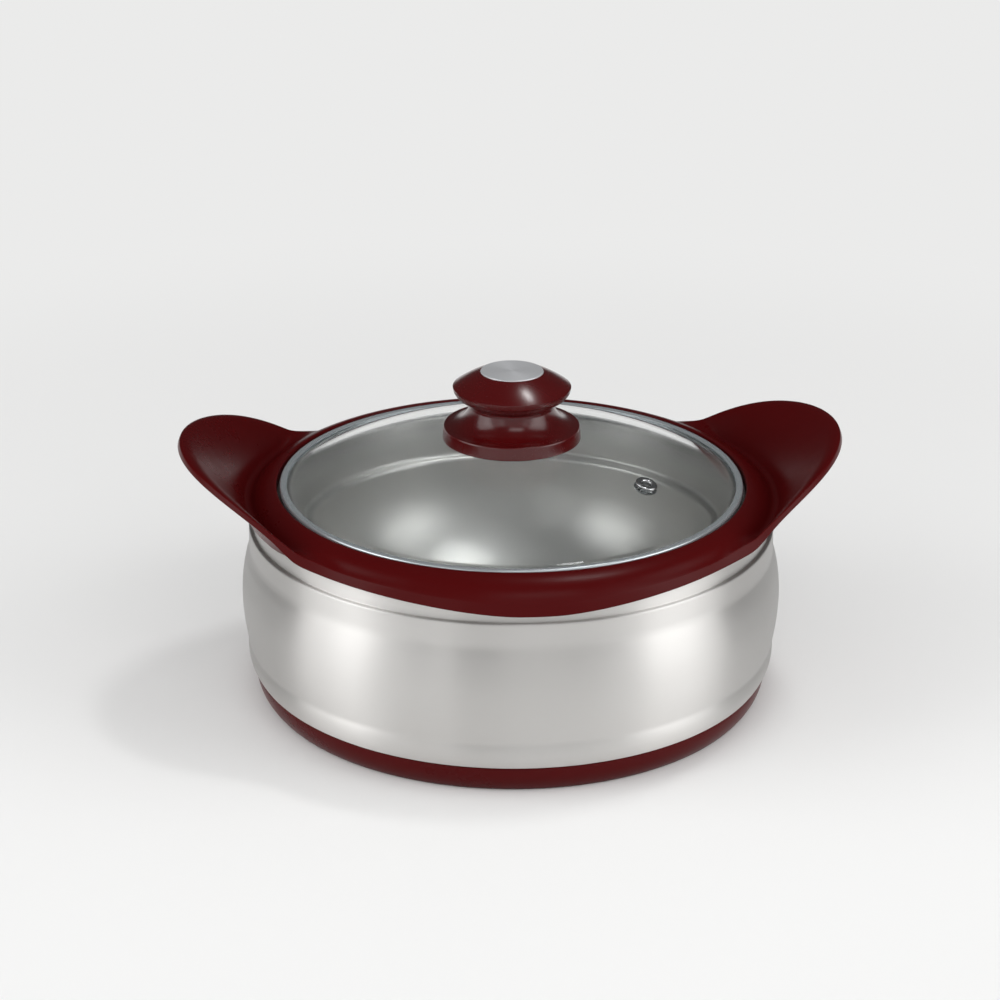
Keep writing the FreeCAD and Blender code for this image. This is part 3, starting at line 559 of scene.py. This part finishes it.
# Radius at which the face, lowered by sink, meets the drafted outline moved inwards
def meetOutline(face, angle, sink, inward, halvings=44):
    low, high = np.full_like(angle, collar["nearest"]), np.full_like(angle, collar["farthest"])
    for _ in range(halvings):
        middle = (low + high) / 2
        inset = (face.height(middle) - sink - collar["foot"]) * collarDraft + inward
        outside = middle > planReach(angle, inset)
        low, high = np.where(outside, low, middle), np.where(outside, middle, high)
    return low


# 0 below start, 1 above full, and an even curve between
def eased(value, start, full):
    share = np.clip((value - start) / (full - start), 0, 1)
    return share ** 2 * (3 - 2 * share)


def between(start, end, share):
    return start + (end - start) * share


# Every ring below runs round the whole collar, as radii and heights at each angle
def makeCollar():
    angle = np.linspace(0, 2 * math.pi, collar["around"], endpoint=False)
    plain = meetOutline(Face(collar["valleyRound"]), angle, 0, 0)
    winged = eased(plain, collar["wingStart"], collar["wingFull"])
    crossing = np.exp(-((plain - collar["crossing"]) / collar["crossingWide"]) ** 2)
    bearing = np.degrees(np.arctan2(np.abs(np.sin(angle)), np.abs(np.cos(angle))))
    ring = eased(bearing, collar["ringStart"], collar["ringFull"])
    face = Face(collar["valleyRound"] + collar["crossingRound"] * crossing, ring)
    fall = collar["borderDrop"] * (1 - collar["crossingFlat"] * crossing)
    fall = fall * (1 - ring) + collar["ringDrop"] * ring
    edge = meetOutline(face, angle, fall, 0)
    underEnd = meetOutline(face, angle, collar["wall"], collar["lipWall"])

    def level(radius, height):
        return np.full_like(angle, collar[radius]), np.full_like(angle, collar[height])

    def under(r):
        return r, face.height(r) - collar["wall"]

    # from the lid's recess over the bowl's ledge, down the inner skirt and out to the core
    underside = [level("recess", "ledgeTop"), level("ledge", "ledgeTop"), level("ledge", "skirtFoot"),
                 level("skirtOuter", "skirtFoot"), level("skirtOuter", "ledgeFoot"),
                 level("coreWall", "ledgeFoot")]

    # along the face's underside, round the skirt outside the neck, and on to the lip
    skirtIn, skirtOut = collar["neckSkirt"]
    underside += [under(np.full_like(angle, r)) for r in np.linspace(collar["coreWall"], skirtIn, 6)]
    underside += [(np.full_like(angle, r), np.full_like(angle, collar["neckSkirtFoot"]))
                  for r in collar["neckSkirt"]]
    underside += [under(between(skirtOut, underEnd, t)) for t in np.linspace(0, 1, 16)]

    # the lip's lower edge, inside and outside, then the rounded border of the face
    drop = collar["lipDrop"] + collar["ringLip"] * ring
    rings = []
    for inward in (collar["lipWall"], 0):
        low = face.height(meetOutline(face, angle, drop, inward))
        low = between(face.height(edge), low, winged) - drop
        rings.append((planReach(angle, (low - collar["foot"]) * collarDraft + inward), low))
    for t in (0, 0.04, 0.09, 0.15, 0.22, 0.3, 0.39, 0.49, 0.6, 0.72, 0.86, 1.0):
        r = edge - collar["borderWide"] * t
        rings.append((r, face.height(r) - fall * (1 - t) ** collar["borderCurve"]))

    # over the wing, through the valley and over the crest to the recess
    top, crestStart = rings[-1][0], collar["recess"] + collar["crestRound"]
    rise = np.minimum(face.wingStart, top - collar["leastStep"])
    dip = np.minimum(face.crestEnd, top - 2 * collar["leastStep"])
    over = []
    for start, end, steps in ((top, rise, 15), (rise, dip, 9), (dip, crestStart, 13)):
        marks = [between(start, end, t) for t in np.linspace(0, 1, steps + 1)[1:]]
        over += [(r, face.height(r)) for r in marks]

    # one closed section at each angle
    points, count = [], 0
    for k, a in enumerate(angle):
        below, (lowIn, lowOut, *edges), upper = (
            [(float(r[k]), float(z[k])) for r, z in part] for part in (underside, rings, over))
        crest = collar["recess"], collar["crest"]
        loop = below + roundedCorner(below[-1], lowIn, lowOut, collar["lipInnerRound"], 3)
        loop += roundedCorner(lowIn, lowOut, edges[0], collar["lipRound"], 4)
        loop += roundedCorner(lowOut, edges[0], edges[2], collar["edgeRound"], 5)
        loop += edges[3:] + upper[:-1]
        loop += roundedCorner(upper[-2], crest, below[0], collar["crestRound"], 5)
        count = len(loop)
        points += [(r * math.cos(a), r * math.sin(a), z) for r, z in loop]
    faces = []
    for k in range(collar["around"]):
        here, there = k * count, (k + 1) % collar["around"] * count
        for i in range(count):
            j = (i + 1) % count
            faces.append((here + i, there + i, there + j, here + j))
    piece = newPiece("collarWings", points, faces, satinMaroon)
    shade(piece.data, 34)
    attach(piece, "casserole")
    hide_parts("collar")
    print("collar made:", len(faces), "faces")


makeCollar()


# Ribs under both wings. Each starts as a bar of unit length and depth, and is bent to the wing.
def makeRibs():
    wing = Face(collar["valleyRound"]).wing
    ribs = {"Count": 3, "Pitch": 26.0, "Thickness": 2.0, "Start": 126.2, "Length": 24.0,
            "Depth": 2.8, "Taper": 0.2, "Tip centre": collar["wingCentre"], "Tip round": 65.0,
            "Wall": collar["wall"] - 0.2, "Wing bow": collar["wingBow"], "Bow radius": wing[0],
            "Bow height": wing[1], "Finish": satinMaroon}
    kinds = {"Count": "NodeSocketInt", "Finish": "NodeSocketMaterial"}
    group = bpy.data.node_groups.new("wing ribs", "GeometryNodeTree")
    group.interface.new_socket("Ribs", in_out="OUTPUT", socket_type="NodeSocketGeometry")
    sockets = {name: group.interface.new_socket(name, in_out="INPUT",
                                                socket_type=kinds.get(name, "NodeSocketFloat"))
               for name in ribs}
    tree = Tree(group)
    given = group.nodes.new("NodeGroupInput")
    size = {name: Wire(tree, given.outputs[name]) for name in sockets}

    # the unit bar, narrower towards its lower edge
    x, y, z = tree.node("GeometryNodeInputPosition", {}).split()
    bar = tree.node("GeometryNodeMeshCube", {}, (1, 1, 1), 25, 3, 4)
    thickness = size["Thickness"] * (1 - size["Taper"] * (0.5 - z))
    narrowed = tree.node("ShaderNodeCombineXYZ", {}, x, y * thickness, z)
    bar = tree.node("GeometryNodeSetPosition", {}, bar, Position=narrowed)

    # a row of bars across the wing
    first = size["Pitch"] * (size["Count"] - 1) * -0.5
    row = tree.node("GeometryNodeMeshLine", {"mode": "OFFSET"}, size["Count"],
                    Start_Location=tree.node("ShaderNodeCombineXYZ", {}, 0.0, first, 0.0),
                    Offset=tree.node("ShaderNodeCombineXYZ", {}, 0.0, size["Pitch"], 0.0))
    bars = tree.node("GeometryNodeInstanceOnPoints", {}, row, Instance=bar)
    bars = tree.node("GeometryNodeRealizeInstances", {}, bars)

    # each bar's length and height follow the wing's plan and underside
    tip = size["Tip centre"] + (size["Tip round"] ** 2 - y ** 2) ** 0.5
    end = (size["Start"] + size["Length"]).least(tip)
    out = size["Start"] + (end - size["Start"]) * (x + 0.5)
    reach = (out ** 2 + y ** 2) ** 0.5
    over = (size["Wing bow"] ** 2 - (reach - size["Bow radius"]) ** 2) ** 0.5
    under = size["Bow height"] + over - size["Wall"]
    bent = tree.node("ShaderNodeCombineXYZ", {}, out, y, under - size["Depth"] * (0.5 - z))
    bars = tree.node("GeometryNodeSetPosition", {}, bars, Position=bent)

    # the same row again under the other wing
    near = tree.node("GeometryNodeTransform", {}, bars, Scale=(metre, metre, metre))
    far = tree.node("GeometryNodeTransform", {}, bars, Scale=(-metre, -metre, metre))
    both = tree.node("GeometryNodeJoinGeometry", {}, near)
    tree.plug(far, both.socket.node.inputs[0])
    both = tree.node("GeometryNodeRealizeInstances", {}, both)
    both = tree.node("GeometryNodeSetMaterial", {}, both, Material=size["Finish"])
    tree.plug(both, group.nodes.new("NodeGroupOutput").inputs[0])

    piece = newPiece("wingRibs", [], [], satinMaroon)
    builder = piece.modifiers.new("ribs", "NODES")
    builder.node_group = group
    for name, value in ribs.items():
        builder[sockets[name].identifier] = value
    settle(piece, builder)
    shade(piece.data)
    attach(piece, "casserole")
    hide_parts("collar")
    print("wing ribs made:", len(piece.data.polygons), "faces")


makeRibs()


# The steel band, folded over the edge of the glass
def makeRim():
    rim = {"edge": 107.6, "inner": 104.3, "bottom": 96.3, "top": 100.7, "sheet": 0.5, "round": 1.7,
           "lean": 1.2, "dip": 0.3, "around": 300}

    def side(shift):
        path = Outline(rim["inner"], rim["bottom"] + shift)
        path.to(rim["edge"] - shift, rim["bottom"] + shift, rim["round"] - shift)
        path.to(rim["edge"] - shift, rim["top"] - shift, rim["round"] - shift)
        path.to(rim["inner"] + rim["lean"], rim["top"] - shift, rim["lean"] - shift)
        return path.to(rim["inner"], rim["top"] - rim["dip"] - shift)

    piece = turned("steelRim", sheetOutline(side, rim["sheet"]), rimSteel, rim["around"])
    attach(piece, "lid")
    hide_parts("steel_rim")


# The glass dome, and the place of the steam vent on it
dome = {"bow": 242.0, "centre": -119.104, "thick": 3.2, "cove": 8.0, "coveRadius": 104.3,
        "flat": 100.1, "edge": 106.9, "edgeRound": 1.2, "screwHole": 2.7, "ventHole": 3.3,
        "ventPlace": 71.0, "ventAngle": -36.5, "drillFoot": -12, "drillTop": 8, "around": 720}


def domeHeight(r):
    return dome["centre"] + math.sqrt(dome["bow"] ** 2 - r * r)


# Turns and moves a fitting that is drawn upright on the origin to its place on the dome
def ventMatrix():
    tilt = math.asin(dome["ventPlace"] / dome["bow"])
    bearing = math.radians(dome["ventAngle"])
    spot = Vector((dome["ventPlace"] * math.cos(bearing), dome["ventPlace"] * math.sin(bearing),
                   domeHeight(dome["ventPlace"]))) * metre
    return Matrix.Translation(spot) @ Matrix.Rotation(bearing, 4, "Z") @ Matrix.Rotation(tilt, 4, "Y")


def makeGlass():
    rise = dome["flat"] + dome["cove"] - dome["centre"]
    innerBow, bottom = dome["bow"] - dome["thick"], dome["flat"] - dome["thick"]
    outer, inner = (bow / (dome["bow"] + dome["cove"]) for bow in (dome["bow"], innerBow))
    section = Outline(dome["screwHole"], domeHeight(dome["screwHole"]))
    section.bow(dome["coveRadius"] * outer, dome["centre"] + rise * outer, dome["bow"], right,
                steps=34)
    section.bow(dome["coveRadius"], dome["flat"], dome["cove"], left, steps=8)
    section.to(dome["edge"], dome["flat"], dome["edgeRound"])
    section.to(dome["edge"], bottom, dome["edgeRound"])
    section.to(dome["coveRadius"], bottom)
    section.bow(dome["coveRadius"] * inner, dome["centre"] + rise * inner,
                dome["cove"] + dome["thick"], right, steps=8)
    section.bow(dome["screwHole"], dome["centre"] + math.sqrt(innerBow ** 2 - dome["screwHole"] ** 2),
                innerBow, left, steps=34)
    piece = turned("glassDome", section.finished(), lidGlass, dome["around"])

    # the vent's hole is drilled square to the glass
    foot, top = dome["drillFoot"], dome["drillTop"]
    drill = turned("ventDrill", [(0, foot), (dome["ventHole"], foot), (dome["ventHole"], top), (0, top)],
                   lidGlass, 48)
    drill.data.transform(ventMatrix())
    cut = piece.modifiers.new("ventHole", "BOOLEAN")
    cut.operation = "DIFFERENCE"
    cut.solver = "EXACT"
    cut.object = drill
    settle(piece, cut)
    bpy.data.objects.remove(drill)
    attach(piece, "lid")
    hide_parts("glass_dome")


# The steam vent: a ring on the glass, a tube through it, and a flare below
def makeVent():
    vent = {"bore": 2.25, "tube": 3.1, "ring": 5.0, "seat": 0.1, "rise": 1.1, "flare": 4.6,
            "flareTop": -4.0, "flareFoot": -4.5, "ringRound": 0.9, "boreRound": 1.0,
            "seatRound": 0.3, "flareRound": 0.2, "footRound": 0.4, "around": 72}
    section = Outline(vent["bore"], vent["flareFoot"], vent["footRound"])
    section.to(vent["flare"], vent["flareFoot"], vent["flareRound"])
    section.to(vent["flare"], vent["flareTop"]).to(vent["tube"], vent["flareTop"])
    section.to(vent["tube"], vent["seat"]).to(vent["ring"], vent["seat"], vent["seatRound"])
    section.to(vent["ring"], vent["rise"], vent["ringRound"])
    section.to(vent["bore"], vent["rise"], vent["boreRound"])
    piece = turned("ventEyelet", section.finished(), zincSteel, vent["around"])
    piece.data.transform(ventMatrix())
    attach(piece, "lid")
    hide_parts("vent_eyelet")


# The knob, on the crown of the dome: a flared foot, a head like two cones, and a metal disc
def makeKnob():
    knob = {"flange": 32.0, "flangeWall": 2.5, "flangeRise": 4.4, "flangeLean": 0.5,
            "flangeGap": 0.3, "flangeRound": 0.9, "footRound": 0.5, "innerRound": 0.3,
            "flareBow": 12.0, "flareTop": 13.6, "boss": 10.5, "bossFoot": 1.3, "hollow": 2.6,
            "waist": 19.6, "waistRise": 1.6, "waistRound": 0.8, "crease": 22.6, "creaseRise": 4.1,
            "creaseRound": 0.7, "grip": 27.2, "widest": 9.5, "sideBow": 5.5, "coneBow": 60.0,
            "gripRise": 16.6, "cap": 14.4, "capThick": 2.5, "capProud": 0.4, "capRound": 0.3,
            "capGap": 0.1, "gripBevel": 0.2, "bore": 2.7, "socket": 5.1, "socketDeep": 2.5,
            "around": 160, "capAround": 128}
    crown = dome["centre"] + dome["bow"]
    waist = crown + knob["flareTop"]
    inner = knob["flange"] - knob["flangeWall"]
    foot, hollow = crown + knob["bossFoot"], crown + knob["hollow"]
    section = Outline(knob["bore"], foot).to(knob["boss"], foot).to(knob["boss"], hollow)
    section.to(inner, hollow).to(inner, domeHeight(inner) + knob["flangeGap"], knob["innerRound"])
    section.to(knob["flange"], domeHeight(knob["flange"]) + knob["flangeGap"], knob["footRound"])
    section.to(knob["flange"] - knob["flangeLean"], crown + knob["flangeRise"], knob["flangeRound"])
    section.bow(knob["waist"], waist, knob["flareBow"], right, steps=16)
    section.to(knob["bore"], waist)
    flange = turned("knobFlange", section.finished(), glossyMaroon, knob["around"])

    gripTop = waist + knob["gripRise"]
    capTop = gripTop + knob["capProud"]
    capSeat = capTop - knob["capThick"]
    seat = knob["cap"] + knob["capGap"]
    section = Outline(knob["socket"], waist).to(knob["waist"], waist)
    section.to(knob["waist"], waist + knob["waistRise"], knob["waistRound"])
    section.to(knob["crease"], waist + knob["creaseRise"], knob["creaseRound"])
    section.bow(knob["grip"], waist + knob["widest"], knob["sideBow"], left, steps=10)
    section.bow(seat + knob["gripBevel"], gripTop, knob["coneBow"], left, steps=16)
    section.to(seat, gripTop - knob["gripBevel"]).to(seat, capSeat)
    section.to(0, capSeat).to(0, capSeat - knob["socketDeep"])
    section.to(knob["socket"], capSeat - knob["socketDeep"])
    grip = turned("knobGrip", section.finished(), glossyMaroon, knob["around"])

    section = Outline(0, capSeat).to(knob["cap"], capSeat).to(knob["cap"], capTop, knob["capRound"])
    cap = turned("knobCap", section.to(0, capTop).finished(), capMetal, knob["capAround"])
    for piece, node, slot in ((flange, "knob_flange", "dark_plastic"), (grip, "knob_grip", "dark_plastic"),
                              (cap, "knob_cap", "cap_metal")):
        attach(piece, "lid")
        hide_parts(node)


makeRim()
makeGlass()
makeVent()
makeKnob()
print("lid made")

# Nodes that stay as they are, each with its finish
for node, finish in {"foam_insulation": yellowFoam, "base_plate": satinMaroon,
                     "fill_plug": satinMaroon, "bowl_seal": blackRubber, "vent_washer": zincSteel,
                     "knob_insert": yellowBrass, "knob_screw": zincSteel, "screw_washer": zincSteel,
                     "seal_washer_upper": blackRubber, "seal_washer_lower": blackRubber}.items():
    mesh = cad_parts[node].data
    mesh.materials.clear()
    mesh.materials.append(finish)


# Pale floor. Away from the object it glows evenly, so that it looks the same however it is lit.
def makeStage():
    floor = {"half": 7000.0, "below": 0.05, "dark": (0.84, 0.84, 0.835), "pale": (0.87, 0.87, 0.865),
             "glow": (0.83, 0.83, 0.825), "near": 0.22, "far": 0.75, "rough": 0.8, "shine": 0.1}
    finish = Finish("pale floor", Roughness=floor["rough"], Specular_IOR_Level=floor["shine"])
    clouds = finish.noise(finish.place(), 3)
    finish.set(Base_Color=finish.mixColours(clouds, floor["dark"], floor["pale"]))
    straight, mirrored = finish.inView()
    share = finish.fromAxis().eased(floor["near"], floor["far"]) * straight.most(mirrored)
    finish.giveWay(share, finish.node("ShaderNodeEmission", {}, floor["glow"] + (1,)))
    half, top = floor["half"], -floor["below"]
    corners = [(-half, -half, top), (half, -half, top), (half, half, top), (-half, half, top)]
    newPiece("floor", corners, [(0, 1, 2, 3)], finish.material)


# The backdrop is pale, what mirrors see of the studio is dim overhead, and its own light is even
def makeWorld():
    studio = {"fill": 0.5, "backdrop": 0.83,
              "heights": ((0.0, 0.22), (0.04, 0.07), (0.12, 0.045), (0.4, 0.045))}
    world = bpy.data.worlds.new("studio")
    bpy.context.scene.world = world
    world.use_nodes = True
    tree = Tree(world.node_tree)
    height = tree.node("ShaderNodeTexCoord", {}, out="Generated").split()[2]
    studioLight = tree.node("ShaderNodeValToRGB", {"stops": studio["heights"]}, height)
    straight, mirrored = tree.inView()
    strength = straight * studio["backdrop"] + mirrored * studioLight
    strength = strength + (1 - straight.most(mirrored)) * studio["fill"]
    background = world.node_tree.nodes["Background"].inputs
    tree.plug((1, 1, 1, 1), background["Color"])
    tree.plug(strength, background["Strength"])


# How the camera stands: turned round the object, back from it and up, in metres and degrees.
# Its lens and sensor are in millimetres.
view = {"lens": 2.572 * 36, "sensor": 36, "turn": 5.3, "back": 1.112, "up": 0.543, "pitch": 22.19,
        "yaw": -0.27, "roll": 0.27}


# Soft boxes, placed by how far round from the camera, how far away and how high they stand, in
# metres. All face a point just above the table.
def makeLamps():
    boxes = {"leftBox": {"turn": -75, "away": 1.25, "up": 0.6, "size": (0.9, 1.2), "glow": 1.9},
             "rightBox": {"turn": 74, "away": 1.25, "up": 0.6, "size": (0.95, 1.2), "glow": 1.75},
             "leftFill": {"turn": -48, "away": 1.5, "up": 0.58, "size": (1.5, 1.1), "glow": 0.85},
             "rightFill": {"turn": 57, "away": 1.5, "up": 0.58, "size": (1.4, 1.1), "glow": 0.85},
             "lowFill": {"turn": 2, "away": 1.6, "up": 0.58, "size": (2.0, 1.1), "glow": 0.5},
             "frontBox": {"turn": 14, "away": 1.15, "up": 1.35, "size": (0.8, 0.4), "glow": 2.2},
             "topBox": {"turn": 127, "away": 0.68, "up": 2.2, "size": (0.42, 0.2), "glow": 25}}
    faced = Vector((0, 0, 0.06))
    for name, box in boxes.items():
        data = bpy.data.lights.new(name, "AREA")
        data.shape = "RECTANGLE"
        data.size, data.size_y = box["size"]
        data.energy = box["glow"] * math.pi * data.size * data.size_y
        lamp = bpy.data.objects.new(name, data)
        bpy.context.collection.objects.link(lamp)
        bearing = math.radians(box["turn"] - 90 - view["turn"])
        lamp.location = (box["away"] * math.cos(bearing), box["away"] * math.sin(bearing), box["up"])
        lamp.rotation_euler = (faced - lamp.location).to_track_quat("-Z", "Y").to_euler()


def makeCamera():
    pitch, yaw, roll = (math.radians(view[key]) for key in ("pitch", "yaw", "roll"))
    ahead = Vector((math.sin(yaw) * math.cos(pitch), math.cos(yaw) * math.cos(pitch), -math.sin(pitch)))
    level = Vector((math.cos(yaw), -math.sin(yaw), 0))
    over = level.cross(ahead)
    sideways = math.cos(roll) * level + math.sin(roll) * over
    upwards = -math.sin(roll) * level + math.cos(roll) * over
    pose = Matrix((sideways, upwards, -ahead)).transposed().to_4x4()
    pose.translation = Vector((0, -view["back"], view["up"]))
    data = bpy.data.cameras.new("camera")
    data.lens, data.sensor_width = view["lens"], view["sensor"]
    camera = bpy.data.objects.new("camera", data)
    bpy.context.collection.objects.link(camera)
    camera.matrix_world = Matrix.Rotation(-math.radians(view["turn"]), 4, "Z") @ pose
    bpy.context.scene.camera = camera


makeStage()
makeWorld()
makeLamps()
makeCamera()
bpy.context.scene.view_settings.view_transform = "Standard"
print("stage, light and camera made")
